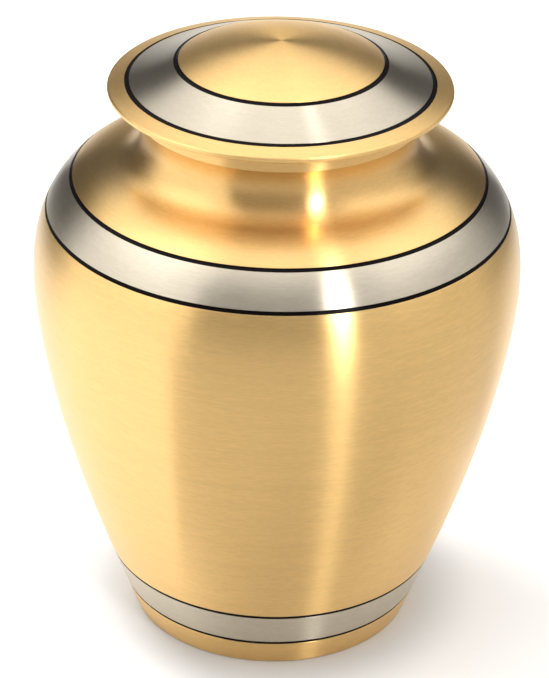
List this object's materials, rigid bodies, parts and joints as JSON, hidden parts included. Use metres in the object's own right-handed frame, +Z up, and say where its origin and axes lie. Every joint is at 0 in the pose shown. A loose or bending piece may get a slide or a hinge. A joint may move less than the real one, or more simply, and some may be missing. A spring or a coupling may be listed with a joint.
{
  "type": "cremation urn",
  "caption": "Round brass cremation urn with broad shoulders, a short hollow neck, a lift-off domed lid, pewter-coloured bands and black enamel lines.",
  "frame": {"origin": "centre of the underside, on the plane the urn stands on", "axes": "+Z up along the axis of the turned form; the form is round, so X and Y are free"},
  "size_m": [0.1808, 0.1808, 0.2324],
  "materials": {
    "brass": "satin, brushed round the axis, lacquered",
    "pewter": "satin, brushed round the axis, pewter-coloured",
    "enamel": "gloss black enamel in a turned groove"
  },
  "bodies": {
    "root": {"body": "brass", "foot_band": "pewter", "shoulder_band": "pewter", "foot_line_lower": "enamel", "foot_line_upper": "enamel", "shoulder_line_lower": "enamel", "shoulder_line_upper": "enamel", "lid": "brass", "lid_band": "pewter", "lid_line_outer": "enamel", "lid_line_inner": "enamel"}
  },
  "joints": []
}
